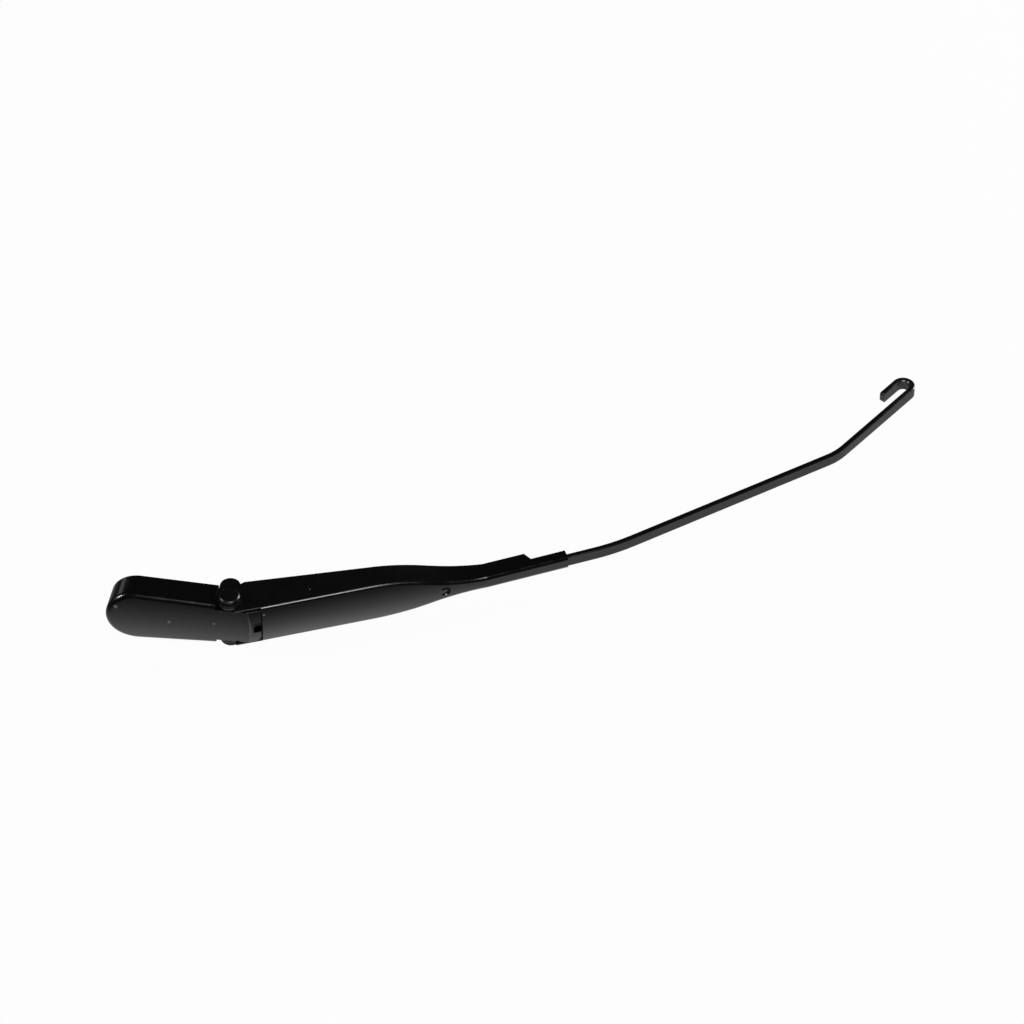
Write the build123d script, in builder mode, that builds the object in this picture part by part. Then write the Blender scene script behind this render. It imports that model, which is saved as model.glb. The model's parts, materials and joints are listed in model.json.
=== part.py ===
from build123d import *
from math import atan2, cos, degrees, hypot, pi, radians, sin, sqrt, tan
import os

os.makedirs("parts", exist_ok=True)

# Windscreen wiper arm, hook type. Millimetres.
# Origin on the spindle axis in the head's mounting face. X runs from the spindle towards the tip,
# +Y points at the glass, -Y outwards, +Z across the arm.

# Head casting
head_r = 22.3            # round end about the spindle
head_h = 20.8            # depth from mounting face to the outer face's edge
head_crown = 2.6         # rise of the outer face above its edge
shoulder_half = 19.5     # half width where the ears begin
head_edge = 4.0          # rounding of the outer face's rim
skirt_edge = 0.8         # rounding of the rim at the mounting face
head_draft = 4.0         # walls lean in towards the mounting face, degrees
cast_wall = 3.0
boss_r = 13.0
bore_r = 8.0             # spindle socket, on the crests of its serrations
bore_depth = 14.0
rib_t = 2.5
rib_drop = 4.0           # ribs stop this far short of the mounting face
bridge_x = 40.0          # cross rib that guides the latch
pivot_x = 65.6           # spindle axis to hinge axis
pivot_depth = 7.8        # hinge axis below the outer face
cheek_t = 4.0
cheek_r = 7.6
pin_boss_r = 5.8
lip_len = 7.6            # slotted lip that carries the outer face up to the channel
lip_slot = 9.0
lip_corner = 6.0         # round corner on the lower side
lip_corner_top = 2.0
lip_gap = 0.6            # lip to channel
lip_pass = 0.1           # channel's end over the lip as it folds
slot_land = 1.4          # solid strip between the outer face's fold and the slot

# Hinge
arm_deg = 21.4           # channel against head at the inner stop
ear_r = 9.0
stop_gap = 0.4           # ear to the head's shoulder
heel_r = 7.3             # lobe of the ear on the glass side
heel_drop = 14.2
ear_root = 14.0          # where the ear's outline meets the channel wall
brow_from = 1.0          # ear's outer edge, level with the channel's edge
brow_drop = 0.8
ear_lap = 14.0           # length of that outline along the wall
pivot_r = 4.0
pivot_head_r = 7.4
pivot_head_t = 5.2
pivot_head_edge = 0.9
pivot_flange_t = 1.6     # wide foot of each head on the ear
bush_wall = 1.0
bush_flange_t = 1.0
bush_flange_r = 7.0
run_clear = 0.05         # rivet in bush, radial
press_clear = 0.02       # pressed and staked pieces, radial
side_clear = 0.1         # bush flange to ear

# Spring pin in the cheeks
pin_r = 3.0
pin_back = 2.0
pin_drop = 14.0

# Channel
sheet = 1.2
arm_half = 17.0
roof_out = 13.0          # edge of the outer face above the hinge axis
roof_crown = 2.4         # rise of the outer face above its edge, at the hinge end
crown_end = 0.2          # the same at the taper's end
edge_r = 3.0             # bend radius outside
hinge_wall = 27.2        # wall depth at the hinge end
taper_wall = 20.2        # wall depth where the taper starts
mid_at = 149.0
mid_wall = 17.2
end_wall = 14.0
taper_from = 100.0
taper_to = 183.0
crimp_at = 185.0         # hinge axis to the fold before the sleeve
crimp_deg = 4.9
sleeve_from = 33.5       # fold to the first crimp
sleeve_len = 59.0        # fold to the sleeve's end
crimp_run = 3.0
lap_edge = 2.2           # edge of the lapped flange from the middle

# Bar
bar_w = 9.0
bar_t = 4.0
bar_edge = 0.6
bar_fit = 0.05
tail_past = 7.5          # bar beyond the anchor rivet
run_1 = 95.0             # fold to first bend
run_2 = 187.0            # first to second bend
run_3 = 86.0             # second bend to hook
bend_0_r = 60.0
bend_1 = 10.7
bend_1_r = 160.0
bend_2 = 19.6
bend_2_r = 45.0
hook_gap = 8.8
hook_leg = 17.0
hook_end_r = 2.0

# Anchor rivet
rivet_at = 152.8         # hinge axis to rivet
rivet_r = 2.5
rivet_sink = 4.0         # countersink radius in the outer face
rivet_cap = 3.0          # flush head radius
rivet_under = 0.5        # head below the outer face
post_len = 5.0           # shank left bare for the rear link
rivet_foot_r = 4.5
rivet_foot_t = 1.6

# Spring and links
wire_r = 1.4
wire_sides = 6
coil_r = 4.9
coil_turns = 14          # whole turns; a quarter more lies between the loops
coil_runs = 12           # straight runs in a turn
link_t = 2.5
link_half = 4.2
link_len = 50.0          # pin to the spring hole
link_hook = 6.6
link_eye_r = 2.7
link_clear = 0.3         # pin in the hook
loop_clear = 0.45        # spring loop in its holes
rear_t = 2.0
rear_half = 5.0
rear_len = 13.0          # spring hole to rivet
rear_eye_r = 2.7
rear_post_clear = 0.75

# Slide latch
latch_w = 9.0
latch_t = 1.5
latch_low = 5.0          # strip above the mounting face
latch_tip = 8.8          # tip from the spindle axis when withdrawn
latch_len = 44.5
latch_tab = 4.0
latch_hole_r = 2.0
latch_clear = 0.15


def step_from(base, deg, along, deep):
    ang = radians(deg)
    return (
        base[0] + along * cos(ang) - deep * sin(ang),
        base[1] + along * sin(ang) + deep * cos(ang),
    )


# Placed points, all in the X-Y plane
pivot_y = pivot_depth - head_h
pivot = (pivot_x, pivot_y)
shoulder_x = pivot_x - ear_r - stop_gap
fold_along = (roof_out * cos(radians(arm_deg)) - pivot_depth) / sin(radians(arm_deg))
lip_end = fold_along + lip_len
roof_from = lip_end + lip_gap
ear_in = arm_half - sheet
cheek_half = ear_in - bush_flange_t - side_clear
cheek_in = cheek_half - cheek_t
sleeve_half = bar_w / 2 + bar_fit + sheet
sleeve_deg = arm_deg + crimp_deg
sleeve_depth = bar_t + 3 * sheet
arm_dir = (cos(radians(arm_deg)), sin(radians(arm_deg)), 0)
out_dir = (sin(radians(arm_deg)), -cos(radians(arm_deg)), 0)
crimp_pt = step_from(pivot, arm_deg, crimp_at, -roof_out)
anchor = (pivot_x - pin_back, pivot_y + pin_drop)
post = step_from(pivot, arm_deg, rivet_at, -roof_out + sheet + bar_t + post_len / 2)
pull_len = hypot(post[0] - anchor[0], post[1] - anchor[1])
pull_deg = degrees(atan2(post[1] - anchor[1], post[0] - anchor[0]))
pull_dir = (cos(radians(pull_deg)), sin(radians(pull_deg)), 0)
bush_r = pivot_r + run_clear + bush_wall
lip_reach = hypot(roof_from, roof_out - sheet) - lip_pass
head_bow_r = (head_r**2 + head_crown**2) / (2 * head_crown)
head_lean = head_h * tan(radians(head_draft))
roof_bow_r = (arm_half**2 + roof_crown**2) / (2 * roof_crown)
crown_slope = (roof_crown - crown_end) / (taper_to - roof_from)
fall_deg = arm_deg + degrees(atan2(crown_slope, 1))
fall_dir = (cos(radians(fall_deg)), sin(radians(fall_deg)), 0)
rivet_out = roof_out + crown_end + crown_slope * (taper_to - rivet_at)


def roof_pt(along, deep):
    return step_from(pivot, arm_deg, along, deep - roof_out)


def sleeve_pt(along, deep):
    return step_from(crimp_pt, sleeve_deg, along, deep)


def fold_pt(deep):
    half = radians(crimp_deg / 2)
    return step_from(crimp_pt, arm_deg + crimp_deg / 2, 0, deep / cos(half))


def meet(one, one_deg, two, two_deg):
    gap = (two[0] - one[0], two[1] - one[1])
    across = (-sin(radians(two_deg)), cos(radians(two_deg)))
    along = (gap[0] * across[0] + gap[1] * across[1]) / sin(radians(two_deg - one_deg))
    return step_from(one, one_deg, -along, 0)


roof_plane = Plane(origin=(*pivot, 0), x_dir=arm_dir, z_dir=out_dir)
pull_plane = Plane(origin=(*anchor, 0), x_dir=pull_dir, z_dir=(0, 0, 1))
sleeve_dir = (cos(radians(sleeve_deg)), sin(radians(sleeve_deg)), 0)
sleeve_in = (-sin(radians(sleeve_deg)), cos(radians(sleeve_deg)), 0)
lap_plane = Plane(origin=(*sleeve_pt(0, sleeve_depth), 0), x_dir=sleeve_dir, z_dir=sleeve_in)
pull_in = (-sin(radians(pull_deg)), cos(radians(pull_deg)), 0)
rear_pt = step_from(anchor, pull_deg, pull_len, -rear_t / 2)
rear_plane = Plane(origin=(*rear_pt, 0), x_dir=pull_dir, z_dir=pull_in)

# Tangent from the shoulder's corner to the round end
corner_len = hypot(shoulder_x, shoulder_half)
corner_deg = degrees(atan2(shoulder_half, shoulder_x))
touch_ang = radians(corner_deg) + atan2(sqrt(corner_len**2 - head_r**2), head_r)
touch = (head_r * cos(touch_ang), head_r * sin(touch_ang))
past = tuple(1.2 * c - 0.2 * t for c, t in zip((shoulder_x, shoulder_half), touch))

# Forms that crown the outer faces
with BuildPart() as head_bow:
    with BuildSketch(Plane.YZ):
        with Locations((head_bow_r - head_h - head_crown, 0)):
            Circle(head_bow_r)
    extrude(amount=3 * pivot_x, both=True)


def roof_bow(inset):
    start = step_from(roof_pt(roof_from, -roof_crown), fall_deg, 0, roof_bow_r)
    with BuildPart() as bow:
        with BuildSketch(Plane(origin=(*start, 0), x_dir=(0, 0, 1), z_dir=fall_dir)):
            Circle(roof_bow_r - inset)
        extrude(amount=2 * crimp_at, both=True)
    return bow.part


# Neck of the head, as one block from the shoulder to the lip's end
with BuildPart() as neck:
    with BuildSketch(Plane.XY):
        with BuildLine():
            Polyline(
                (shoulder_x - cast_wall, -head_h - 2 * head_crown),
                roof_pt(lip_end, -3 * roof_crown),
                roof_pt(lip_end, cast_wall),
                step_from(pivot, arm_deg, cheek_r, 0),
                step_from(anchor, 0, pin_boss_r, 0),
                step_from(anchor, 0, 0, pin_boss_r),
                step_from(anchor, 0, -pin_boss_r, 0),
                (shoulder_x - cast_wall, -cast_wall),
                close=True,
            )
        make_face()
        with Locations(pivot):
            Circle(cheek_r)
        with Locations(anchor):
            Circle(pin_boss_r)
    extrude(amount=cheek_half, both=True)
    add(head_bow.part, mode=Mode.INTERSECT)
    add(roof_bow(0), mode=Mode.INTERSECT)
    # the lip's end is round about the hinge, so that the channel folds over it
    with BuildSketch(Plane.XY):
        with Locations(pivot):
            Circle(lip_reach)
    extrude(amount=2 * cheek_half, both=True, mode=Mode.INTERSECT)

# Head: outer shell, neck with cheeks and slotted lip, socket boss and ribs
with BuildPart() as head:
    with BuildSketch(Plane.XZ.offset(head_h + head_crown)):
        with BuildLine():
            Polyline((touch[0], -touch[1]), (past[0], -past[1]), past, touch)
            ThreePointArc(touch, (-head_r, 0), (touch[0], -touch[1]))
        make_face()
    extrude(amount=-head_h - head_crown, taper=head_draft)
    add(head_bow.part, mode=Mode.INTERSECT)
    split(bisect_by=Plane.YZ.offset(shoulder_x), keep=Keep.BOTTOM)
    rim = head.edges().filter_by(lambda e: e.center().Y < -head_h + head_crown / 2)
    fillet(rim.filter_by(lambda e: e.center().X < shoulder_x - 1), radius=head_edge)
    skirt = head.faces().sort_by(Axis.Y)[-1].edges().filter_by(lambda e: e.center().X < 0)
    fillet(skirt, radius=skirt_edge)
    with BuildSketch(Plane.XZ):
        with BuildLine():
            Polyline((touch[0], -touch[1]), (shoulder_x, -shoulder_half), (shoulder_x, shoulder_half), touch)
            ThreePointArc(touch, (-head_r, 0), (touch[0], -touch[1]))
        make_face()
        offset(amount=-cast_wall - head_lean / 2, mode=Mode.REPLACE)
    extrude(amount=head_h + head_crown / 2 - cast_wall, mode=Mode.SUBTRACT)
    add(neck.part)
    with BuildSketch(Plane.XY):
        with BuildLine():
            Polyline(
                (shoulder_x - 2 * cast_wall, -head_h + cast_wall),
                roof_pt(fold_along, cast_wall),
                roof_pt(lip_end + cast_wall, cast_wall),
                roof_pt(lip_end + cast_wall, 3 * head_h),
                (shoulder_x - 2 * cast_wall, 2 * head_h),
                close=True,
            )
        make_face()
    extrude(amount=cheek_in, both=True, mode=Mode.SUBTRACT)
    # slot of the lip, open towards the channel, and the lip's round corners
    with BuildSketch(roof_plane):
        with BuildLine():
            Polyline(
                (fold_along + slot_land, -lip_slot / 2),
                (lip_end + lip_len, -lip_slot / 2),
                (lip_end + lip_len, lip_slot / 2),
                (fold_along + slot_land, lip_slot / 2),
                close=True,
            )
        make_face()
    extrude(amount=roof_out + head_h, both=True, mode=Mode.SUBTRACT)
    with BuildSketch(roof_plane.offset(roof_out - cast_wall)):
        for side, corner in ((1, lip_corner_top), (-1, lip_corner)):
            with Locations((lip_end, side * cheek_half)):
                Rectangle(2 * corner, 2 * corner)
            with Locations((lip_end - corner, side * (cheek_half - corner))):
                Circle(corner, mode=Mode.SUBTRACT)
    extrude(amount=2 * cast_wall + roof_crown, mode=Mode.SUBTRACT)
    # socket boss, ribs and the bridge of the latch
    with BuildSketch(Plane.XZ):
        Circle(boss_r)
    extrude(amount=head_h - cast_wall / 2)
    with BuildSketch(Plane.XZ.offset(rib_drop)):
        with Locations((-head_r / 2, 0)):
            Rectangle(head_r - cast_wall, rib_t)
        Rectangle(rib_t, 2 * (head_r - cast_wall / 2))
        with Locations((bridge_x, 0)):
            Rectangle(rib_t, 2 * shoulder_half)
    extrude(amount=head_h - cast_wall / 2 - rib_drop)
    with BuildSketch(Plane.XZ):
        Circle(bore_r)
    extrude(amount=bore_depth, mode=Mode.SUBTRACT)
    with BuildSketch(Plane.XZ.offset(latch_low - latch_clear)):
        with Locations((bridge_x / 2 + rib_t, 0)):
            Rectangle(bridge_x, latch_w + 2 * latch_clear)
    extrude(amount=latch_t + 2 * latch_clear, mode=Mode.SUBTRACT)
    # bores of the hinge bushes and the spring pin
    with BuildSketch(Plane.XY):
        with Locations(pivot):
            Circle(bush_r + press_clear)
        with Locations(anchor):
            Circle(pin_r + press_clear)
    extrude(amount=cheek_half, both=True, mode=Mode.SUBTRACT)
head.part.label = "head"
export_step(head.part, "parts/head.step")

# Flanged hinge bushes, one in each cheek
with BuildPart() as upper_pivot_bush:
    with BuildSketch(Plane.XY.offset(cheek_in)):
        with Locations(pivot):
            Circle(bush_r)
    extrude(amount=cheek_t)
    with BuildSketch(Plane.XY.offset(cheek_half)):
        with Locations(pivot):
            Circle(bush_flange_r)
    extrude(amount=bush_flange_t)
    with BuildSketch(Plane.XY.offset(cheek_in)):
        with Locations(pivot):
            Circle(pivot_r + run_clear)
    extrude(amount=cheek_t + bush_flange_t, mode=Mode.SUBTRACT)
upper_pivot_bush.part.label = "upper_pivot_bush"
export_step(upper_pivot_bush.part, "parts/upper_pivot_bush.step")

with BuildPart() as lower_pivot_bush:
    mirror(upper_pivot_bush.part, about=Plane.XY)
lower_pivot_bush.part.label = "lower_pivot_bush"
export_step(lower_pivot_bush.part, "parts/lower_pivot_bush.step")

# Cross pin that the spring pulls on
with BuildPart() as spring_pin:
    with BuildSketch(Plane.XY):
        with Locations(anchor):
            Circle(pin_r)
    extrude(amount=cheek_half - side_clear, both=True)
    chamfer(spring_pin.edges(), length=pin_r / 8)
spring_pin.part.label = "spring_pin"
export_step(spring_pin.part, "parts/spring_pin.step")

# Slide latch: strip with a finger tab, withdrawn from the socket
with BuildPart() as slide_latch:
    with BuildSketch(Plane.XZ.offset(latch_low)):
        with Locations((latch_tip + latch_len / 2, 0)):
            RectangleRounded(latch_len, latch_w, latch_t)
        with Locations((latch_tip + latch_len - latch_t - 3 * latch_hole_r, 0)):
            Circle(latch_hole_r, mode=Mode.SUBTRACT)
    extrude(amount=latch_t)
    with BuildSketch(Plane.XZ.offset(latch_low - latch_tab)):
        with Locations((latch_tip + latch_len - latch_t / 2, 0)):
            Rectangle(latch_t, latch_w - 2 * latch_t)
    extrude(amount=latch_tab + latch_t / 2)
slide_latch.part.label = "slide_latch"
export_step(slide_latch.part, "parts/slide_latch.step")

# Channel: the hollow is made first, then taken out of the outer form
with BuildPart() as hollow:
    with BuildSketch(Plane.XY):
        with BuildLine():
            Polyline(
                roof_pt(roof_from - lip_len, -2 * roof_crown),
                meet(roof_pt(0, -2 * roof_crown), arm_deg, sleeve_pt(0, sheet), sleeve_deg),
                sleeve_pt(sleeve_len + crimp_run, sheet),
                sleeve_pt(sleeve_len + crimp_run, sheet + bar_t),
                sleeve_pt(sleeve_from, sheet + bar_t),
                sleeve_pt(sleeve_from - crimp_run, 2 * hinge_wall),
                roof_pt(roof_from - lip_len, 2 * hinge_wall),
                close=True,
            )
        make_face()
    extrude(amount=arm_half, both=True)
    with BuildSketch(roof_plane):
        with BuildLine():
            for side in (1, -1):
                wide = side * ear_in
                slim = side * (sleeve_half - sheet)
                Line((roof_from - 2 * lip_len, wide), (taper_from, wide))
                bow = TangentArc(
                    (taper_from, wide), ((taper_from + taper_to) / 2, (wide + slim) / 2), tangent=(1, 0)
                )
                TangentArc(bow @ 1, (taper_to, slim), tangent=bow % 1)
                Line((taper_to, slim), (crimp_at + 2 * sleeve_len, slim))
            Line((roof_from - 2 * lip_len, ear_in), (roof_from - 2 * lip_len, -ear_in))
            Line(
                (crimp_at + 2 * sleeve_len, sleeve_half - sheet),
                (crimp_at + 2 * sleeve_len, sheet - sleeve_half),
            )
        make_face()
    extrude(amount=crimp_at, both=True, mode=Mode.INTERSECT)
    add(roof_bow(sheet), mode=Mode.INTERSECT)

with BuildPart() as retainer:
    with BuildSketch(Plane.XY):
        with BuildLine():
            Polyline(
                roof_pt(roof_from, -2 * roof_crown),
                meet(roof_pt(0, -2 * roof_crown), arm_deg, crimp_pt, sleeve_deg),
                sleeve_pt(sleeve_len, 0),
                sleeve_pt(sleeve_len, sleeve_depth),
                sleeve_pt(sleeve_from, sleeve_depth),
                sleeve_pt(sleeve_from - crimp_run, end_wall),
                roof_pt(taper_to, end_wall),
                roof_pt(mid_at, mid_wall),
                roof_pt(taper_from, taper_wall),
                roof_pt(roof_from, hinge_wall),
                close=True,
            )
        make_face()
    extrude(amount=2 * arm_half, both=True)
    with BuildSketch(roof_plane):
        with BuildLine():
            for side in (1, -1):
                wide = side * arm_half
                slim = side * sleeve_half
                Line((roof_from - lip_len, wide), (taper_from, wide))
                bow = TangentArc(
                    (taper_from, wide), ((taper_from + taper_to) / 2, (wide + slim) / 2), tangent=(1, 0)
                )
                TangentArc(bow @ 1, (taper_to, slim), tangent=bow % 1)
                Line((taper_to, slim), (crimp_at + 2 * sleeve_len, slim))
            Line((roof_from - lip_len, arm_half), (roof_from - lip_len, -arm_half))
            Line((crimp_at + 2 * sleeve_len, sleeve_half), (crimp_at + 2 * sleeve_len, -sleeve_half))
        make_face()
    extrude(amount=crimp_at, both=True, mode=Mode.INTERSECT)
    add(roof_bow(0), mode=Mode.INTERSECT)
    roof = retainer.faces().filter_by(lambda f: f.normal_at().dot(Vector(out_dir)) > 0.98)
    fillet(roof.edges().filter_by(lambda e: abs(e.center().Z) > sleeve_half / 2), radius=edge_r)
    add(hollow.part, mode=Mode.SUBTRACT)
    # ears with their lobes on the glass side
    wall_slope = (hinge_wall - taper_wall) / (taper_from - roof_from)
    ear_wall = hinge_wall + wall_slope * (roof_from - ear_root)
    ear_far = ear_root + ear_lap
    with BuildSketch(Plane.XY.offset(ear_in)):
        with Locations(pivot):
            Circle(ear_r)
        with Locations((pivot_x - ear_r + heel_r, pivot_y + heel_drop)):
            Circle(heel_r)
        make_hull()
    lobe = extrude(amount=sheet)
    mirror(lobe, about=Plane.XY)
    with BuildSketch(Plane.XY.offset(ear_in)):
        with Locations(pivot):
            Circle(ear_r)
        with BuildLine():
            Polyline(
                roof_pt(ear_root, edge_r),
                roof_pt(ear_far, edge_r),
                roof_pt(ear_far, ear_wall - wall_slope * ear_lap),
                roof_pt(ear_root, ear_wall),
                close=True,
            )
        make_hull()
        with BuildLine():
            Polyline(
                roof_pt(brow_from, brow_drop),
                roof_pt(roof_from, brow_drop),
                roof_pt(roof_from, 2 * edge_r),
                roof_pt(brow_from, 2 * edge_r),
                close=True,
            )
        make_face()
    ear = extrude(amount=sheet)
    mirror(ear, about=Plane.XY)
    with BuildSketch(Plane.XY):
        with Locations(pivot):
            Circle(pivot_r + press_clear)
    extrude(amount=2 * arm_half, both=True, mode=Mode.SUBTRACT)
    # seat of the flush rivet
    with BuildSketch(roof_plane.offset(rivet_out)):
        with Locations((rivet_at, 0)):
            Circle(rivet_sink)
    extrude(amount=-(rivet_sink - rivet_r), taper=45, mode=Mode.SUBTRACT)
    with BuildSketch(roof_plane):
        with Locations((rivet_at, 0)):
            Circle(rivet_r + press_clear)
    extrude(amount=rivet_out, mode=Mode.SUBTRACT)
    # the outer flange of the crimp ends short of the far side
    with BuildSketch(lap_plane):
        with BuildLine():
            Polyline(
                (sleeve_from - crimp_run, sleeve_half * 2),
                (sleeve_len + crimp_run, sleeve_half * 2),
                (sleeve_len + crimp_run, lap_edge),
                (sleeve_from - crimp_run, lap_edge),
                close=True,
            )
        make_face()
    extrude(amount=-sheet, mode=Mode.SUBTRACT)
retainer.part.label = "retainer"
export_step(retainer.part, "parts/retainer.step")

# Hinge rivet with a head on each ear
with BuildPart() as pivot_rivet:
    with BuildSketch(Plane.XY):
        with Locations(pivot):
            Circle(pivot_r)
    extrude(amount=arm_half, both=True)
    for level in (arm_half, -arm_half - pivot_head_t):
        with BuildSketch(Plane.XY.offset(level)):
            with Locations(pivot):
                Circle(pivot_head_r)
        extrude(amount=pivot_head_t)
    for level in (arm_half, -arm_half - pivot_flange_t):
        with BuildSketch(Plane.XY.offset(level)):
            with Locations(pivot):
                Circle(ear_r - stop_gap)
        extrude(amount=pivot_flange_t)
    ends = pivot_rivet.faces().sort_by(Axis.Z)
    chamfer((ends[0].edges(), ends[-1].edges()), length=pivot_head_edge)
pivot_rivet.part.label = "pivot_rivet"
export_step(pivot_rivet.part, "parts/pivot_rivet.step")

# Flat bar, bent in one plane, with the hook for the blade
bar_mid = sheet + bar_t / 2
bar_seat = (bar_w / 2) ** 2 / (2 * (roof_bow_r - sheet)) + bar_fit
tail_line = step_from(roof_pt(roof_from, -roof_crown), fall_deg, 0, bar_mid + bar_seat)
bend_a = meet(tail_line, fall_deg, sleeve_pt(0, bar_mid), sleeve_deg)
bend_b = step_from(fold_pt(bar_mid), sleeve_deg, run_1, 0)
bend_c = step_from(bend_b, sleeve_deg + bend_1, run_2, 0)
hook_pt = step_from(bend_c, sleeve_deg + bend_1 + bend_2, run_3, 0)
with BuildPart() as wiper_bar:
    with BuildLine() as bar_path:
        shaft = FilletPolyline(
            step_from(tail_line, fall_deg, rivet_at - tail_past - roof_from, 0),
            bend_a,
            bend_b,
            bend_c,
            hook_pt,
            radius=(bend_0_r, bend_1_r, bend_2_r),
        )
        curl = JernArc(shaft @ 1, shaft % 1, (hook_gap + bar_t) / 2, 180)
        leg = Line(curl @ 1, curl @ 1 + hook_leg * (curl % 1))
    with BuildSketch(Plane(origin=shaft @ 0, x_dir=(0, 0, 1), z_dir=shaft % 0)):
        section = Rectangle(bar_w, bar_t)
        chamfer(section.vertices(), length=bar_edge)
    sweep(path=bar_path.line)
    tip = wiper_bar.edges().filter_by(lambda e: abs(e.length - bar_t + 2 * bar_edge) < 0.01)
    fillet(tip.sort_by_distance(leg @ 1)[0:2], radius=hook_end_r)
    with BuildSketch(roof_plane):
        with Locations((rivet_at, 0)):
            Circle(rivet_r + press_clear)
    extrude(amount=rivet_out, mode=Mode.SUBTRACT)
wiper_bar.part.label = "wiper_bar"
export_step(wiper_bar.part, "parts/wiper_bar.step")

# Flush rivet through channel and bar; its bare shank holds the rear link
with BuildPart() as anchor_rivet:
    with BuildSketch(roof_plane.offset(roof_out - sheet - bar_t - post_len)):
        with Locations((rivet_at, 0)):
            Circle(rivet_r)
    extrude(amount=post_len + bar_t + sheet + rivet_out - roof_out - rivet_under)
    with BuildSketch(roof_plane.offset(rivet_out - rivet_under)):
        with Locations((rivet_at, 0)):
            Circle(rivet_cap)
    extrude(amount=-(rivet_cap - rivet_r), taper=45)
    with BuildSketch(roof_plane.offset(roof_out - sheet - bar_t - post_len)):
        with Locations((rivet_at, 0)):
            Circle(rivet_foot_r)
    extrude(amount=-rivet_foot_t)
anchor_rivet.part.label = "anchor_rivet"
export_step(anchor_rivet.part, "parts/anchor_rivet.step")

# Hook plate from the spring pin to the spring
with BuildPart() as spring_link:
    with BuildSketch(pull_plane.offset(-link_t / 2)):
        Circle(link_hook)
        with BuildLine():
            Polyline(
                (0, -link_half),
                (link_len, -link_half),
                (link_len, link_half),
                (0, link_hook),
                close=True,
            )
        make_face()
        with Locations((link_len, 0)):
            Circle(link_half)
        with Locations((link_len, 0)):
            Circle(link_eye_r, mode=Mode.SUBTRACT)
        Circle(pin_r + link_clear, mode=Mode.SUBTRACT)
        with Locations((0, -link_hook / 2)):
            Rectangle(2 * (pin_r + link_clear), link_hook, mode=Mode.SUBTRACT)
    extrude(amount=link_t)
spring_link.part.label = "spring_link"
export_step(spring_link.part, "parts/spring_link.step")

# Coil spring in short straight runs, with a half loop at each end, a quarter turn apart
coil_from = link_len + link_eye_r - wire_r - loop_clear + coil_r
coil_to = pull_len - rear_len - rear_eye_r + wire_r + loop_clear - coil_r
coil_len = coil_to - coil_from
coil_pt = step_from(anchor, pull_deg, coil_from, 0)
coil_plane = Plane(origin=(*coil_pt, 0), x_dir=(0, 0, 1), z_dir=pull_dir)
coil_steps = int(coil_turns) * coil_runs + coil_runs // 4
run_ang = 2 * pi / coil_runs
wire_line = []
for step in range(coil_runs // 2, 0, -1):
    wire_line.append((coil_r * cos(step * run_ang), 0, -coil_r * sin(step * run_ang)))
for step in range(coil_steps + 1):
    turn = step * run_ang
    wire_line.append((coil_r * cos(turn), coil_r * sin(turn), coil_len * step / coil_steps))
for step in range(1, coil_runs // 2 + 1):
    wire_line.append((0, coil_r * cos(step * run_ang), coil_len + coil_r * sin(step * run_ang)))
with BuildPart() as tension_spring:
    with BuildLine(coil_plane):
        winding = Polyline(*wire_line)
    with BuildSketch(Plane(origin=winding @ 0, z_dir=winding % 0)):
        RegularPolygon(wire_r, wire_sides)
    sweep(path=winding, transition=Transition.RIGHT)
tension_spring.part.label = "tension_spring"
export_step(tension_spring.part, "parts/tension_spring.step")

# Two-hole plate from the spring to the rivet
with BuildPart() as rear_link:
    with BuildSketch(rear_plane):
        SlotCenterPoint((-rear_len / 2, 0), (0, 0), 2 * rear_half)
        Circle(rivet_r + rear_post_clear, mode=Mode.SUBTRACT)
        with Locations((-rear_len, 0)):
            Circle(rear_eye_r, mode=Mode.SUBTRACT)
    extrude(amount=rear_t)
rear_link.part.label = "rear_link"
export_step(rear_link.part, "parts/rear_link.step")
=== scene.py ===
import json
import math
import bmesh
import bpy
from mathutils import Matrix, Vector


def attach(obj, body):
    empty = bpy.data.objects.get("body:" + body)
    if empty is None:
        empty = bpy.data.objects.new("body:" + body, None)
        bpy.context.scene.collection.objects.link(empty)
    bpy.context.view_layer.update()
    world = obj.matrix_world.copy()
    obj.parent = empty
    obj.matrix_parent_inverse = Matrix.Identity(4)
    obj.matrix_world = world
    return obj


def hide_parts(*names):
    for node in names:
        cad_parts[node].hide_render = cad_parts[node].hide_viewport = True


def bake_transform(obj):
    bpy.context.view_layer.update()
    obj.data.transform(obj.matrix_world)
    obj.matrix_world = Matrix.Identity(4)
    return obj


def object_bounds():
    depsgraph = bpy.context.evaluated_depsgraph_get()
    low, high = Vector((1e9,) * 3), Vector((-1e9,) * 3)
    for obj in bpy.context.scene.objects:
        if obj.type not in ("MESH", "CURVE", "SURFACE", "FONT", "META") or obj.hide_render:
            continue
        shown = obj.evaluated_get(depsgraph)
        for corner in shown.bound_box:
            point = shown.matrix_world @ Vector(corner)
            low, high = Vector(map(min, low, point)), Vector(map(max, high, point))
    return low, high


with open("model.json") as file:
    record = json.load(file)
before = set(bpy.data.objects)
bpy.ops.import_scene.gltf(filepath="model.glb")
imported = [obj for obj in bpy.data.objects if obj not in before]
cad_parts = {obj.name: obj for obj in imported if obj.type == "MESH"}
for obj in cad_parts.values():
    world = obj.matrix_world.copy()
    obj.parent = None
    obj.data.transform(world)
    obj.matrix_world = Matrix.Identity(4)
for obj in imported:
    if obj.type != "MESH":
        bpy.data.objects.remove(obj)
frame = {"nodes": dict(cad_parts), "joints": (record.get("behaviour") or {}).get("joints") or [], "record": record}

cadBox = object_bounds()
cadNodes = frame["nodes"]
joints = {joint["name"]: joint for joint in frame["joints"]}
print("frame loaded:", len(cadNodes), "nodes")

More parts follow.
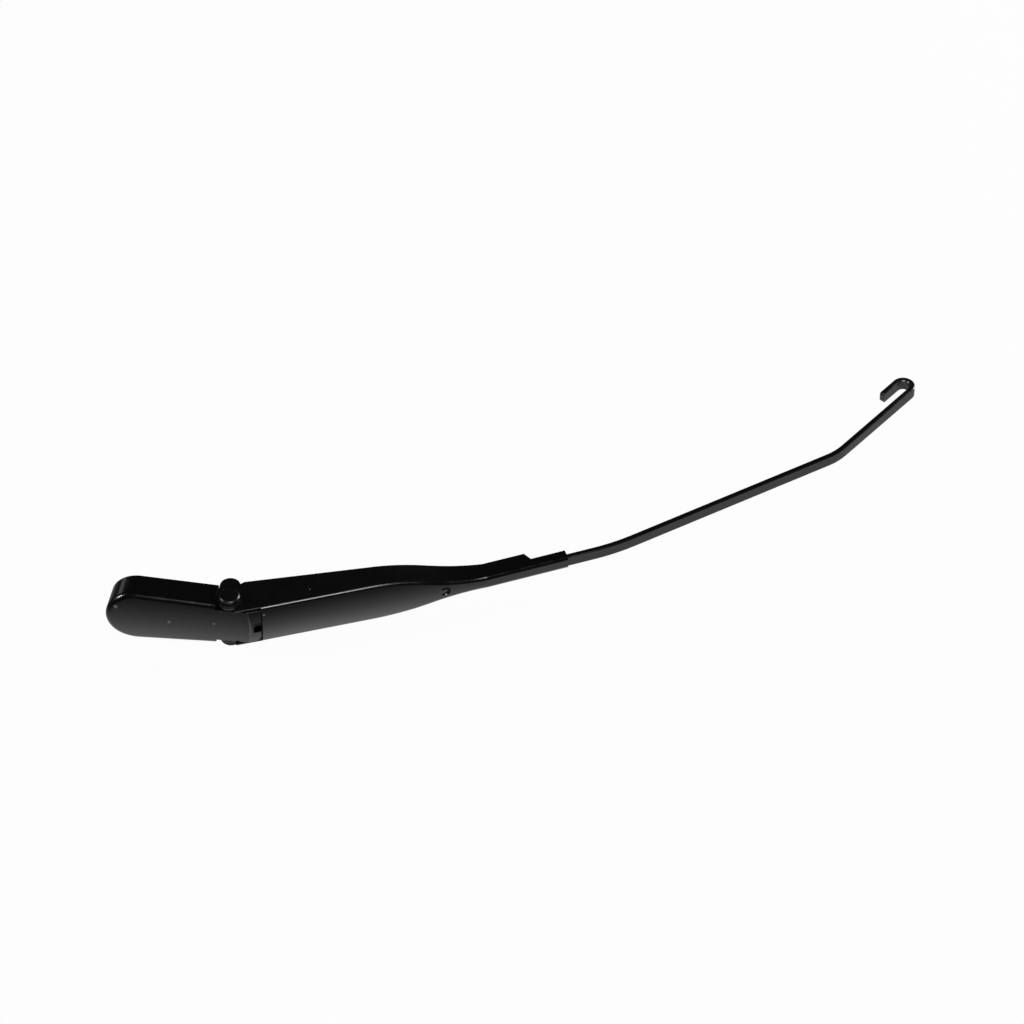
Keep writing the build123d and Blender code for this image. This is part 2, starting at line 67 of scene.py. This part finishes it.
# the hinge and the channel's slope, from which the head's lip is measured
hinge = {"at": (0.0656, -0.0130, 0.0), "slope": math.radians(21.4)}
alongChannel = Vector((math.cos(hinge["slope"]), math.sin(hinge["slope"]), 0.0))
outOfChannel = Vector((math.sin(hinge["slope"]), -math.cos(hinge["slope"]), 0.0))
acrossArm = Vector((0.0, 0.0, 1.0))


# small helpers for objects and node trees
def addObject(name, data):
    item = bpy.data.objects.new(name, data)
    bpy.context.scene.collection.objects.link(item)
    return item


def directionOf(azimuth, elevation):
    a, e = math.radians(azimuth), math.radians(elevation)
    return Vector((math.sin(a) * math.cos(e), -math.cos(a) * math.cos(e), math.sin(e)))


def addNode(tree, kind, values=None, **settings):
    node = tree.nodes.new(kind)
    for key, value in settings.items():
        setattr(node, key, value)
    for key, value in (values or {}).items():
        node.inputs[key].default_value = value
    return node


def newFinish(name):
    finish = bpy.data.materials.new(name)
    finish.use_nodes = True
    tree = finish.node_tree
    shader = next(n for n in tree.nodes if n.type == "BSDF_PRINCIPLED")
    place = addNode(tree, "ShaderNodeTexCoord")
    return finish, tree, shader, place.outputs["Object"]


def noiseOn(tree, where, scale, detail=2.0, rough=0.5):
    values = {"Scale": scale, "Detail": detail, "Roughness": rough}
    node = addNode(tree, "ShaderNodeTexNoise", values)
    tree.links.new(where, node.inputs["Vector"])
    return node.outputs["Fac"]


def remap(tree, value, low, high, toLow, toHigh):
    node = addNode(tree, "ShaderNodeMapRange", {1: low, 2: high, 3: toLow, 4: toHigh})
    tree.links.new(value, node.inputs[0])
    return node.outputs[0]


def mathOf(tree, operation, first, second):
    node = addNode(tree, "ShaderNodeMath", operation=operation)
    for socket, value in zip(node.inputs, (first, second)):
        if isinstance(value, (int, float)):
            socket.default_value = value
        else:
            tree.links.new(value, socket)
    return node.outputs[0]


def mixColour(tree, factor, first, second):
    node = addNode(tree, "ShaderNodeMix", data_type="RGBA")
    tree.links.new(factor, node.inputs["Factor"])
    for socket, value in ((node.inputs[6], first), (node.inputs[7], second)):
        if isinstance(value, bpy.types.NodeSocket):
            tree.links.new(value, socket)
        else:
            socket.default_value = (*value, 1.0)
    return node.outputs[2]


def bumpOn(tree, height, strength, distance, before=None):
    node = addNode(tree, "ShaderNodeBump", {"Strength": strength, "Distance": distance})
    tree.links.new(height, node.inputs["Height"])
    if before is not None:
        tree.links.new(before, node.inputs["Normal"])
    return node.outputs["Normal"]


def edgeMask(tree, radius, low, high):
    # how far the rounded normal leaves the true one: bright along edges
    bevel = addNode(tree, "ShaderNodeBevel", {"Radius": radius}, samples=6)
    face = addNode(tree, "ShaderNodeNewGeometry")
    dot = addNode(tree, "ShaderNodeVectorMath", operation="DOT_PRODUCT")
    tree.links.new(bevel.outputs["Normal"], dot.inputs[0])
    tree.links.new(face.outputs["Normal"], dot.inputs[1])
    return remap(tree, dot.outputs["Value"], high, low, 0.0, 1.0)


def awayFrom(tree, where, spot):
    node = addNode(tree, "ShaderNodeVectorMath", {1: spot}, operation="DISTANCE")
    tree.links.new(where, node.inputs[0])
    return node.outputs["Value"]


def foldLine(tree, where, fold):
    # the head's outer face folds down to its lip along a bowed line, along which a painted highlight is laid
    start = addNode(tree, "ShaderNodeVectorMath", {1: hinge["at"]}, operation="SUBTRACT")
    tree.links.new(where, start.inputs[0])
    runs = []
    for way in (alongChannel, outOfChannel, acrossArm):
        dot = addNode(tree, "ShaderNodeVectorMath", {1: way}, operation="DOT_PRODUCT")
        tree.links.new(start.outputs[0], dot.inputs[0])
        runs.append(dot.outputs["Value"])
    along, outward, across = runs
    bowed = mathOf(tree, "MULTIPLY", mathOf(tree, "MULTIPLY", across, across), fold["bow"])
    off = mathOf(tree, "ADD", mathOf(tree, "SUBTRACT", along, fold["along"]), bowed)
    line = remap(tree, mathOf(tree, "ABSOLUTE", off, 0.0), *fold["width"], 1.0, 0.0)
    onFace = remap(tree, outward, *fold["face"], 0.0, 1.0)
    return mathOf(tree, "MULTIPLY", line, onFace)


# finishes
noiseSpan = (0.3, 0.7)       # where most of a noise texture's values lie

# black paint of the pressed channel; the other blacks start from it
blackPaint = {
    "base": (0.0014, 0.0014, 0.0015),
    "toneScale": 60.0,
    "toneGain": 1.35,        # how much lighter the cloudy tone gets
    # paler edges: partly paint worn through, partly a painted highlight along the edges
    "wornAndHighlit": (0.034, 0.034, 0.035),
    "edgeRadius": 0.0009,
    "edgeFrom": (0.78, 0.975),
    "patchScale": 180.0,     # the wear comes in patches
    "patchFrom": (0.42, 0.62),
    "patchLeast": 0.25,
    "calm": [],              # places with no worn edge, and their radius
    "calmCore": 0.6,
    "dustAndGlintColour": (0.22, 0.22, 0.21),
    "dustScale": 300.0,
    "dustShare": 0.985,      # share of cells with no speck
    "dustSize": (0.10, 0.20),
    "dustRough": 0.4,
    "spotsAndGlints": [((0.09076, -0.01862, 0.01083), 0.0011)],  # light marks and their radius
    "markCore": 0.35,
    "markMost": 0.8,
    "index": 1.88,
    "rough": (0.17, 0.27),
    "smearScale": 95.0,
    "roughRun": (0.195, 0.235, -0.08),  # x from, x to, roughness added: a glossier sleeve
    "waveScale": 34.0,       # slow waviness of pressed sheet
    "waveHeight": 0.0003,
    "peelScale": 950.0,      # orange peel, about a millimetre
    "peelHeight": 0.00002,
    "bumpStrength": 0.5,
}

# the head is cast, with a painted highlight along its fold to the lip and a painted glint near its round end
blackCasting = dict(
    blackPaint,
    wornAndHighlit=(0.060, 0.060, 0.061),
    edgeFrom=(0.88, 0.993),
    calm=[((0.040, -0.007, 0.0192), 0.009), ((0.040, -0.007, -0.0192), 0.009)],
    # colour of the painted highlight along the fold
    rubbed=(0.105, 0.103, 0.098),
    fold={
        "along": 0.01104,    # from the hinge
        "bow": 6.5,
        "width": (0.0002, 0.0008),
        "face": (0.0115, 0.0125),  # only this far out, where the outer face is
    },
    spotsAndGlints=[
        ((0.02366, -0.0234, 0.0002), 0.0015),
        ((0.05573, -0.02337, 0.0022), 0.0012),
        # a painted glint on the rim of the round end; the two marks above are dust specks
        ((-0.01406, -0.02284, 0.01043), 0.0018),
    ],
    index=1.74,
    rough=(0.14, 0.24),
    roughRun=None,
    waveScale=22.0,
    waveHeight=0.0004,
    peelScale=1300.0,
    peelHeight=0.00003,
)

barPaint = dict(
    blackPaint,
    rough=(0.17, 0.25),
    roughRun=(0.500, 0.512, 0.09),  # duller round the hook
    peelHeight=0.000015,
)

# the pivot rivet's heads are hammered, less glossy than the sheet
pivotPaint = dict(
    blackPaint,
    spotsAndGlints=[],
    index=1.5,
    rough=(0.30, 0.42),
    roughRun=None,
    peelHeight=0.00004,
)

# the small flush rivet is duller, with its middle rubbed bare
rivetPaint = dict(
    blackPaint,
    dustAndGlintColour=(0.30, 0.30, 0.29),
    spotsAndGlints=[((0.21265, 0.03056, 0.0002), 0.0013)],
    index=1.3,
    rough=(0.45, 0.60),
    roughRun=None,
)


def paintSpecksAndGlints(tree, where, look):
    # a few specks of dust: the middle of some cells
    values = {"Scale": look["dustScale"], "Randomness": 1.0}
    cells = addNode(tree, "ShaderNodeTexVoronoi", values)
    tree.links.new(where, cells.inputs["Vector"])
    pick = addNode(tree, "ShaderNodeSeparateColor")
    tree.links.new(cells.outputs["Color"], pick.inputs[0])
    chosen = mathOf(tree, "GREATER_THAN", pick.outputs[0], look["dustShare"])
    middle = remap(tree, cells.outputs["Distance"], *look["dustSize"], 1.0, 0.0)
    speckAndGlint = mathOf(tree, "MULTIPLY", chosen, middle)
    # pale marks that lie at fixed places, among them a painted glint
    for spot, size in look["spotsAndGlints"]:
        away = awayFrom(tree, where, spot)
        mark = remap(tree, away, look["markCore"] * size, size, look["markMost"], 0.0)
        speckAndGlint = mathOf(tree, "MAXIMUM", speckAndGlint, mark)
    return speckAndGlint


def makePaint(name, look):
    finish, tree, shader, where = newFinish(name)
    links = tree.links
    shader.inputs["IOR"].default_value = look["index"]
    # a cloudy black
    tone = noiseOn(tree, where, look["toneScale"], detail=4.0)
    tone = remap(tree, tone, *noiseSpan, 0.0, 1.0)
    lighter = tuple(look["toneGain"] * c for c in look["base"])
    colour = mixColour(tree, tone, look["base"], lighter)
    # paler in patches along the edges: partly worn paint, partly a painted highlight
    patch = noiseOn(tree, where, look["patchScale"], detail=5.0, rough=0.65)
    patch = remap(tree, patch, *look["patchFrom"], look["patchLeast"], 1.0)
    edge = edgeMask(tree, look["edgeRadius"], *look["edgeFrom"])
    edge = mathOf(tree, "MULTIPLY", edge, patch)
    for spot, size in look["calm"]:
        away = awayFrom(tree, where, spot)
        keep = remap(tree, away, look["calmCore"] * size, size, 0.0, 1.0)
        edge = mathOf(tree, "MULTIPLY", edge, keep)
    colour = mixColour(tree, edge, colour, look["wornAndHighlit"])
    # a painted highlight laid along the head's fold to the lip
    if "fold" in look:
        line = mathOf(tree, "MULTIPLY", foldLine(tree, where, look["fold"]), patch)
        colour = mixColour(tree, line, colour, look["rubbed"])
    # dust specks, pale marks and a painted glint, in the speck colour
    speckAndGlint = paintSpecksAndGlints(tree, where, look)
    links.new(mixColour(tree, speckAndGlint, colour, look["dustAndGlintColour"]), shader.inputs["Base Color"])
    # smeared gloss, dull on the specks
    smear = noiseOn(tree, where, look["smearScale"], detail=5.0, rough=0.6)
    smear = remap(tree, smear, *noiseSpan, *look["rough"])
    if look["roughRun"]:
        runFrom, runTo, added = look["roughRun"]
        run = addNode(tree, "ShaderNodeSeparateXYZ")
        links.new(where, run.inputs[0])
        change = remap(tree, run.outputs["X"], runFrom, runTo, 0.0, added)
        smear = mathOf(tree, "ADD", smear, change)
    dull = mathOf(tree, "MULTIPLY", speckAndGlint, look["dustRough"])
    links.new(mathOf(tree, "ADD", smear, dull), shader.inputs["Roughness"])
    # slow waves with orange peel on them
    wave = noiseOn(tree, where, look["waveScale"], detail=1.0)
    wave = bumpOn(tree, wave, look["bumpStrength"], look["waveHeight"])
    peel = noiseOn(tree, where, look["peelScale"], detail=2.0)
    peel = bumpOn(tree, peel, look["bumpStrength"], look["peelHeight"], wave)
    links.new(peel, shader.inputs["Normal"])
    return finish


# bare metals, alike but for their colours, gloss and grain
steel = {
    "stainScale": 210.0,
    "stainFrom": (0.40, 0.66),
    "stainMost": 0.8,
    "grainHeight": 0.00002,
    "bumpStrength": 0.4,
}
platedSteel = dict(
    steel,
    base=(0.62, 0.62, 0.60),
    stain=(0.38, 0.37, 0.35),
    rough=(0.26, 0.42),
    grainScale=900.0,
)
plainSteel = dict(
    steel,
    base=(0.54, 0.54, 0.55),
    stain=(0.26, 0.25, 0.23),
    rough=(0.24, 0.38),
    grainScale=1400.0,
)
springSteel = dict(
    steel,
    base=(0.30, 0.30, 0.31),
    stain=(0.13, 0.125, 0.12),
    rough=(0.30, 0.46),
    grainScale=1100.0,
)


def makeSteel(name, look):
    finish, tree, shader, where = newFinish(name)
    links = tree.links
    shader.inputs["Metallic"].default_value = 1.0
    stain = noiseOn(tree, where, look["stainScale"], detail=6.0, rough=0.65)
    stain = remap(tree, stain, *look["stainFrom"], 0.0, look["stainMost"])
    colour = mixColour(tree, stain, look["base"], look["stain"])
    links.new(colour, shader.inputs["Base Color"])
    grain = noiseOn(tree, where, look["grainScale"], detail=4.0, rough=0.6)
    rough = remap(tree, grain, *noiseSpan, *look["rough"])
    links.new(rough, shader.inputs["Roughness"])
    bump = bumpOn(tree, grain, look["bumpStrength"], look["grainHeight"])
    links.new(bump, shader.inputs["Normal"])
    return finish


# moulded bushes, a little grimy
bushPlastic = {
    "base": (0.50, 0.47, 0.39),
    "grime": (0.30, 0.29, 0.26),
    "grimeScale": 260.0,
    "grimeFrom": (0.42, 0.66),
    "grimeMost": 0.7,
    "rough": (0.40, 0.55),
    "grainScale": 700.0,
    "grainHeight": 0.00003,
    "bumpStrength": 0.3,
}


def makeBush(name, look):
    finish, tree, shader, where = newFinish(name)
    links = tree.links
    grime = noiseOn(tree, where, look["grimeScale"], detail=5.0, rough=0.6)
    grime = remap(tree, grime, *look["grimeFrom"], 0.0, look["grimeMost"])
    colour = mixColour(tree, grime, look["base"], look["grime"])
    links.new(colour, shader.inputs["Base Color"])
    grain = noiseOn(tree, where, look["grainScale"], detail=3.0)
    rough = remap(tree, grain, *noiseSpan, *look["rough"])
    links.new(rough, shader.inputs["Roughness"])
    bump = bumpOn(tree, grain, look["bumpStrength"], look["grainHeight"])
    links.new(bump, shader.inputs["Normal"])
    return finish


finishes = {
    "black_paint": makePaint("blackPaint", blackPaint),
    "black_casting": makePaint("blackCasting", blackCasting),
    "plated_steel": makeSteel("platedSteel", platedSteel),
    "plain_steel": makeSteel("plainSteel", plainSteel),
    "spring_steel": makeSteel("springSteel", springSteel),
    "bush_plastic": makeBush("bushPlastic", bushPlastic),
}
ownFinishes = {
    "wiper_bar": makePaint("barPaint", barPaint),
    "anchor_rivet": makePaint("rivetPaint", rivetPaint),
    "pivot_rivet": makePaint("pivotPaint", pivotPaint),
}
slotOf = {part["node"]: part["material_slot"] for part in frame["record"]["subparts"]}
for name, piece in cadNodes.items():
    piece.data.materials.clear()
    piece.data.materials.append(ownFinishes.get(name, finishes[slotOf[name]]))
print("finishes on", len(slotOf), "nodes")


# geometry trees: named inputs at the start, a real mesh with its finish at the end
def openTree(name, inputs):
    tree = bpy.data.node_groups.new(name, "GeometryNodeTree")
    face = tree.interface
    for label, kind in inputs.items():
        face.new_socket(label, in_out="INPUT", socket_type=kind)
    face.new_socket("Geometry", in_out="OUTPUT", socket_type="NodeSocketGeometry")
    return tree, addNode(tree, "NodeGroupInput").outputs


def closeTree(tree, shape, finish):
    real = addNode(tree, "GeometryNodeRealizeInstances")
    tree.links.new(shape, real.inputs[0])
    coat = addNode(tree, "GeometryNodeSetMaterial", {"Material": finish})
    tree.links.new(real.outputs[0], coat.inputs[0])
    tree.links.new(coat.outputs[0], addNode(tree, "NodeGroupOutput").inputs[0])


def bakeTree(name, tree, sizes, place):
    holder = addObject(name, bpy.data.meshes.new(name))
    made = holder.modifiers.new(name, "NODES")
    made.node_group = tree
    for item in tree.interface.items_tree:
        if item.in_out == "INPUT":
            made[item.identifier] = sizes[item.name]
    bpy.context.view_layer.update()
    ready = holder.evaluated_get(bpy.context.evaluated_depsgraph_get())
    result = bpy.data.meshes.new_from_object(ready)
    holder.modifiers.clear()
    holder.data = result
    result.transform(place)
    return holder


# tension spring: round wire on a spiral, with a half loop at each end
spring = {
    "wireRadius": 0.0014,
    "coilRadius": 0.0049,
    "turns": 14.25,
    "pin": (0.0636, 0.0010, 0.0),  # the cross pin, from which the pull runs
    "coilFrom": 0.05575,
    "coilTo": 0.1320,
    "wireSides": 14,
    "turnSteps": 36,
    "loopSteps": 20,
}


def springTree(look, finish):
    labels = ("Wire Radius", "Coil Radius", "Turns", "Length")
    tree, given = openTree("coilSpring", dict.fromkeys(labels, "NodeSocketFloat"))
    links = tree.links
    coil = addNode(tree, "GeometryNodeCurveSpiral", {"Resolution": look["turnSteps"]})
    links.new(given["Turns"], coil.inputs["Rotations"])
    links.new(given["Length"], coil.inputs["Height"])
    for label in ("Start Radius", "End Radius"):
        links.new(given["Coil Radius"], coil.inputs[label])
    joined = addNode(tree, "GeometryNodeJoinGeometry")
    links.new(coil.outputs[0], joined.inputs[0])
    # near loop stands in x-z, far loop in y-z at the coil's other end
    quarter = math.pi / 2
    for turn, atEnd in (((-quarter, 0.0, 0.0), False), ((quarter, 0.0, quarter), True)):
        sweep = {"Resolution": look["loopSteps"], "Sweep Angle": math.pi}
        arc = addNode(tree, "GeometryNodeCurveArc", sweep)
        links.new(given["Coil Radius"], arc.inputs["Radius"])
        placed = addNode(tree, "GeometryNodeTransform", {"Rotation": turn})
        links.new(arc.outputs[0], placed.inputs["Geometry"])
        if atEnd:
            lift = addNode(tree, "ShaderNodeCombineXYZ")
            links.new(given["Length"], lift.inputs["Z"])
            links.new(lift.outputs[0], placed.inputs["Translation"])
        links.new(placed.outputs[0], joined.inputs[0])
    sides = {"Resolution": look["wireSides"]}
    ring = addNode(tree, "GeometryNodeCurvePrimitiveCircle", sides)
    links.new(given["Wire Radius"], ring.inputs["Radius"])
    tube = addNode(tree, "GeometryNodeCurveToMesh", {"Fill Caps": True})
    links.new(joined.outputs[0], tube.inputs["Curve"])
    links.new(ring.outputs[0], tube.inputs["Profile Curve"])
    smooth = addNode(tree, "GeometryNodeSetShadeSmooth")
    links.new(tube.outputs[0], smooth.inputs[0])
    closeTree(tree, smooth.outputs[0], finish)
    return tree


pull = Vector(joints["rear_pull"]["axis"]).normalized()
acrossPull = pull.cross(acrossArm)
coilStart = Vector(spring["pin"]) + pull * spring["coilFrom"]
coilEnd = Vector(spring["pin"]) + pull * spring["coilTo"]
alongPull = Matrix((acrossArm, acrossPull, pull)).transposed().to_4x4()
alongPull.translation = coilStart
springSizes = {
    "Wire Radius": spring["wireRadius"],
    "Coil Radius": spring["coilRadius"],
    "Turns": spring["turns"],
    "Length": (coilEnd - coilStart).length,
}
windings = springTree(spring, finishes["spring_steel"])
springPiece = bakeTree("springCoil", windings, springSizes, alongPull)
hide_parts("tension_spring")
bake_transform(springPiece)
print("spring wound:", round(1000 * springSizes["Length"], 1), "mm coil")


# serrations that grip the spindle, a toothed ring in the socket
serration = {
    "teeth": 48,
    "crestRadius": 0.00776,
    "rootRadius": 0.00799,
    "seatRadius": 0.0083,    # outside of the ring, inside the casting
    "seatSteps": 96,
    "depth": 0.0062,
    "from": 0.0074,          # below the mounting face, past the latch's window
    "weld": 0.000002,
}


def serrationTree(look, finish):
    inputs = {"Teeth": "NodeSocketInt"}
    for label in ("Crest Radius", "Root Radius", "Seat Radius", "Depth"):
        inputs[label] = "NodeSocketFloat"
    tree, given = openTree("socketSerration", inputs)
    links = tree.links
    star = addNode(tree, "GeometryNodeCurveStar")
    links.new(given["Teeth"], star.inputs["Points"])
    links.new(given["Crest Radius"], star.inputs["Inner Radius"])
    links.new(given["Root Radius"], star.inputs["Outer Radius"])
    steps = {"Resolution": look["seatSteps"]}
    seat = addNode(tree, "GeometryNodeCurvePrimitiveCircle", steps)
    links.new(given["Seat Radius"], seat.inputs["Radius"])
    outline = addNode(tree, "GeometryNodeJoinGeometry")
    links.new(star.outputs[0], outline.inputs[0])
    links.new(seat.outputs[0], outline.inputs[0])
    filled = addNode(tree, "GeometryNodeFillCurve")
    links.new(outline.outputs[0], filled.inputs[0])
    raised = addNode(tree, "GeometryNodeExtrudeMesh", {"Individual": False})
    links.new(filled.outputs[0], raised.inputs["Mesh"])
    links.new(given["Depth"], raised.inputs["Offset Scale"])
    under = addNode(tree, "GeometryNodeFlipFaces")
    links.new(filled.outputs[0], under.inputs[0])
    ring = addNode(tree, "GeometryNodeJoinGeometry")
    links.new(raised.outputs["Mesh"], ring.inputs[0])
    links.new(under.outputs[0], ring.inputs[0])
    closed = addNode(tree, "GeometryNodeMergeByDistance", {"Distance": look["weld"]})
    links.new(ring.outputs[0], closed.inputs[0])
    closeTree(tree, closed.outputs[0], finish)
    return tree


serrationSizes = {
    "Teeth": serration["teeth"],
    "Crest Radius": serration["crestRadius"],
    "Root Radius": serration["rootRadius"],
    "Seat Radius": serration["seatRadius"],
    "Depth": serration["depth"],
}
# the ring's own Z runs into the socket
intoSocket = Matrix((
    (1, 0, 0, 0),
    (0, 0, -1, -serration["from"]),
    (0, 1, 0, 0),
    (0, 0, 0, 1),
))
teeth = serrationTree(serration, finishes["black_casting"])
serrationPiece = bakeTree("socketSerration", teeth, serrationSizes, intoSocket)
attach(serrationPiece, "head")
print("serrations cut:", serration["teeth"])


# end of the head's lip, which follows the channel's crown and is round about the hinge
lip = {
    "channelFrom": 0.019995,  # hinge to the channel's end
    "edgeHeight": 0.0130,    # outer face's edge above the hinge
    "sheet": 0.0012,
    "crown": 0.0024,
    "halfWidth": 0.0170,
    "bend": (0.0140, 0.0018),  # inner bend of the channel: where it starts, radius
    "clear": 0.00025,
    "sink": 0.0001,          # below the lip's own face
    "root": (0.0145, 0.0170),
    "rootHeight": 0.0103,
    "lowHeight": 0.0086,
    "sides": [(0.0045, 0.01455), (-0.0112, -0.0045)],
    "corner": (0.013395, 0.0087, 0.0060),  # round corner on the lower side
    "rows": 12,
    "roundSteps": 8,
    "sharpFrom": math.radians(25),
}


def lipSection(look, z):
    bow = (look["halfWidth"] ** 2 + look["crown"] ** 2) / (2 * look["crown"])
    rise = math.sqrt(bow ** 2 - z ** 2) - bow + look["crown"]
    bendFrom, bendRadius = look["bend"]
    past = max(0.0, abs(z) - bendFrom)
    drop = bendRadius - math.sqrt(bendRadius ** 2 - past ** 2)
    inner = look["edgeHeight"] - look["sheet"] + rise - drop
    reach = math.hypot(look["channelFrom"], inner) - look["clear"]
    top = look["edgeHeight"] + rise - look["sink"]
    low = look["lowHeight"]
    cornerAlong, cornerFrom, cornerRadius = look["corner"]
    most = math.inf
    if z < -cornerFrom:
        most = cornerAlong + math.sqrt(cornerRadius ** 2 - (-z - cornerFrom) ** 2)
    steps = look["roundSteps"]
    heights = [top + (low - top) * i / steps for i in range(steps + 1)]
    run = [(min(most, math.sqrt(reach ** 2 - h ** 2)), h) for h in heights]
    nearRoot, farRoot = look["root"]
    return [(nearRoot, top)] + run + [(farRoot, low), (nearRoot, look["rootHeight"])]


def lipRing(look, z):
    start = Vector(hinge["at"])
    side = Vector((0, 0, z))
    section = lipSection(look, z)
    return [start + alongChannel * a + outOfChannel * h + side for a, h in section]


def makeLip(look, finish):
    work = bmesh.new()
    for low, high in look["sides"]:
        rings = []
        for row in range(look["rows"] + 1):
            z = low + (high - low) * row / look["rows"]
            rings.append([work.verts.new(point) for point in lipRing(look, z)])
        for one, two in zip(rings, rings[1:]):
            for i in range(len(one)):
                j = (i + 1) % len(one)
                work.faces.new((one[i], one[j], two[j], two[i]))
        work.faces.new(rings[0])
        work.faces.new(rings[-1])
    bmesh.ops.recalc_face_normals(work, faces=work.faces)
    mesh = bpy.data.meshes.new("lipEnds")
    work.to_mesh(mesh)
    work.free()
    mesh.shade_smooth()
    mesh.set_sharp_from_angle(angle=look["sharpFrom"])
    mesh.materials.append(finish)
    return addObject("lipEnds", mesh)


lipPiece = makeLip(lip, finishes["black_casting"])
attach(lipPiece, "head")
print("lip ends fitted")


# camera at the photograph's angle
view = {
    "azimuth": 7.0,
    "elevation": 45.0,
    "lens": 210.94,
    "sensor": 36.0,
    "distance": 4.2553,
    "farthest": 50.0,
    "target": (0.25297, 0.08712, 0.02778),
}
back = directionOf(view["azimuth"], view["elevation"])
eye = bpy.data.cameras.new("camera")
eye.lens, eye.sensor_width, eye.sensor_fit = view["lens"], view["sensor"], "HORIZONTAL"
eye.clip_end = view["farthest"]
camera = addObject("camera", eye)
camera.location = Vector(view["target"]) + back * view["distance"]
camera.rotation_euler = back.to_track_quat("Z", "Y").to_euler()
bpy.context.scene.camera = camera
print("camera set")


# floor, room and lamps
studio = {
    "floorSize": 9.0,
    "floorDrop": 0.0004,     # just below the arm
    "floorWhite": 0.96,      # share of plain white that the camera and reflections see
    "paper": 0.86,
    "glowFall": 2.6,         # how fast the floor's glow fades towards grazing in reflections
    "room": 0.018,
    "lampDistance": 2.2,
    "lamps": {               # each from an azimuth and an elevation
        "keyLamp": {"from": (14.6, 50.0), "size": (1.06, 0.85), "watts": 18.0},
        "fillLamp": {"from": (-80.0, 30.0), "size": (0.5, 0.5), "watts": 14.0},
        "backLamp": {"from": (128.0, 18.0), "size": (0.9, 0.7), "watts": 34.0},
        "rimLamp": {"from": (-137.0, 6.0), "size": (0.8, 0.4), "watts": 0.5},
    },
}


def floorFinish(look):
    finish = bpy.data.materials.new("floorWhite")
    finish.use_nodes = True
    tree = finish.node_tree
    tree.nodes.clear()
    links = tree.links
    path = addNode(tree, "ShaderNodeLightPath").outputs
    seen = mathOf(tree, "MAXIMUM", path["Is Camera Ray"], path["Is Glossy Ray"])
    seen = mathOf(tree, "MAXIMUM", seen, path["Is Transmission Ray"])
    share = mathOf(tree, "MULTIPLY", seen, look["floorWhite"])
    # a light table: its glow falls off towards grazing angles
    angle = addNode(tree, "ShaderNodeLayerWeight", {"Blend": 0.5})
    facing = mathOf(tree, "SUBTRACT", 1.0, angle.outputs["Facing"])
    fall = mathOf(tree, "POWER", facing, look["glowFall"])
    strength = mathOf(tree, "MAXIMUM", fall, path["Is Camera Ray"])
    pale = (look["paper"],) * 3 + (1.0,)
    paper = addNode(tree, "ShaderNodeBsdfDiffuse", {"Color": pale})
    glow = addNode(tree, "ShaderNodeEmission", {"Color": (1, 1, 1, 1)})
    links.new(strength, glow.inputs["Strength"])
    mix = addNode(tree, "ShaderNodeMixShader")
    links.new(share, mix.inputs[0])
    links.new(paper.outputs[0], mix.inputs[1])
    links.new(glow.outputs[0], mix.inputs[2])
    links.new(mix.outputs[0], addNode(tree, "ShaderNodeOutputMaterial").inputs[0])
    return finish


def makeFloor(look, middle, lowest):
    half = look["floorSize"] / 2
    level = lowest - look["floorDrop"]
    signs = ((-1, -1), (1, -1), (1, 1), (-1, 1))
    corners = [(middle.x + sx * half, middle.y + sy * half, level) for sx, sy in signs]
    mesh = bpy.data.meshes.new("floor")
    mesh.from_pydata(corners, [], [(0, 1, 2, 3)])
    mesh.materials.append(floorFinish(look))
    return addObject("floor", mesh)


centre = (cadBox[0] + cadBox[1]) / 2
floor = makeFloor(studio, centre, cadBox[0].z)
for name, lamp in studio["lamps"].items():
    light = bpy.data.lights.new(name, "AREA")
    light.shape = "RECTANGLE"
    light.size, light.size_y = lamp["size"]
    light.energy = lamp["watts"]
    toLamp = directionOf(*lamp["from"])
    stand = addObject(name, light)
    stand.location = centre + toLamp * studio["lampDistance"]
    stand.rotation_euler = toLamp.to_track_quat("Z", "Y").to_euler()
room = bpy.data.worlds.new("room")
room.use_nodes = True
dim = (studio["room"],) * 3 + (1.0,)
room.node_tree.nodes["Background"].inputs["Color"].default_value = dim
bpy.context.scene.world = room
bpy.context.scene.view_settings.view_transform = "Standard"
print("studio set")
